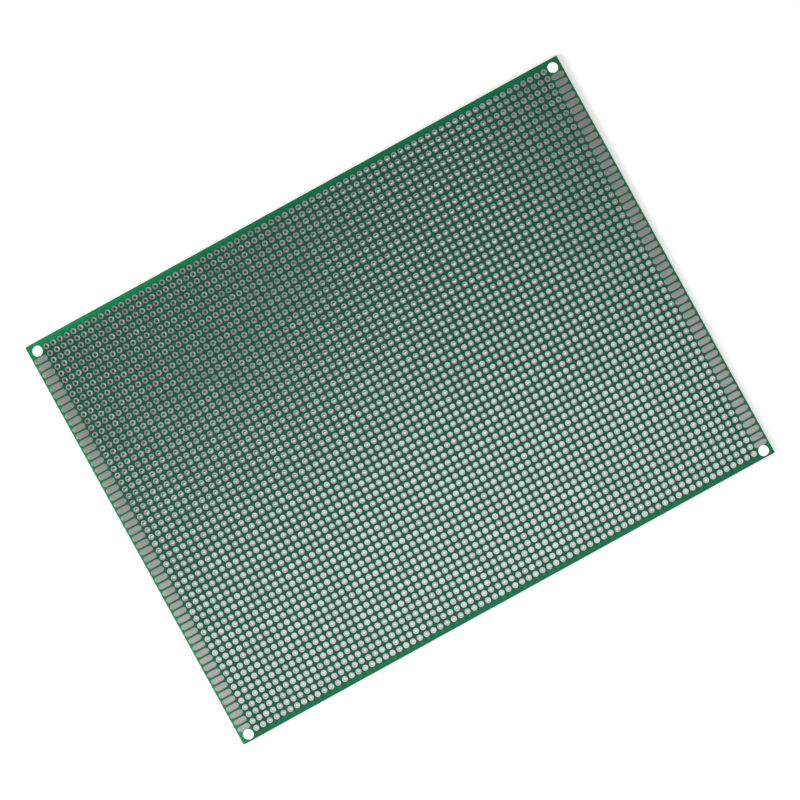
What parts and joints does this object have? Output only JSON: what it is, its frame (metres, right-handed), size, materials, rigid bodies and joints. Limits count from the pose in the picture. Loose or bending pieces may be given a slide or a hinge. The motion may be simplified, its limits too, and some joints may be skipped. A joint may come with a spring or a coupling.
{
  "type": "prototype board",
  "caption": "Flat rectangular circuit prototyping board: a full grid of plated lead holes, long pads along both short edges and a mounting hole in each corner.",
  "frame": {"origin": "middle of the underside, on the plane that the board rests on", "axes": "+X along the long side, +Y along the short side, +Z out of the top face"},
  "size_m": [0.198, 0.148, 0.0016],
  "materials": {
    "masked_laminate": "satin green solder mask over glass-fibre laminate",
    "tinned_copper": "hot-air levelled tin over copper"
  },
  "bodies": {
    "root": {"board": "masked_laminate", "edge_pads_left": "tinned_copper", "edge_pads_right": "tinned_copper", "plated_holes_01": "tinned_copper", "plated_holes_02": "tinned_copper", "plated_holes_03": "tinned_copper", "plated_holes_04": "tinned_copper", "plated_holes_05": "tinned_copper", "plated_holes_06": "tinned_copper", "plated_holes_07": "tinned_copper", "plated_holes_08": "tinned_copper", "plated_holes_09": "tinned_copper", "plated_holes_10": "tinned_copper", "plated_holes_11": "tinned_copper", "plated_holes_12": "tinned_copper", "plated_holes_13": "tinned_copper", "plated_holes_14": "tinned_copper", "plated_holes_15": "tinned_copper", "plated_holes_16": "tinned_copper", "plated_holes_17": "tinned_copper", "plated_holes_18": "tinned_copper", "plated_holes_19": "tinned_copper"}
  },
  "joints": []
}
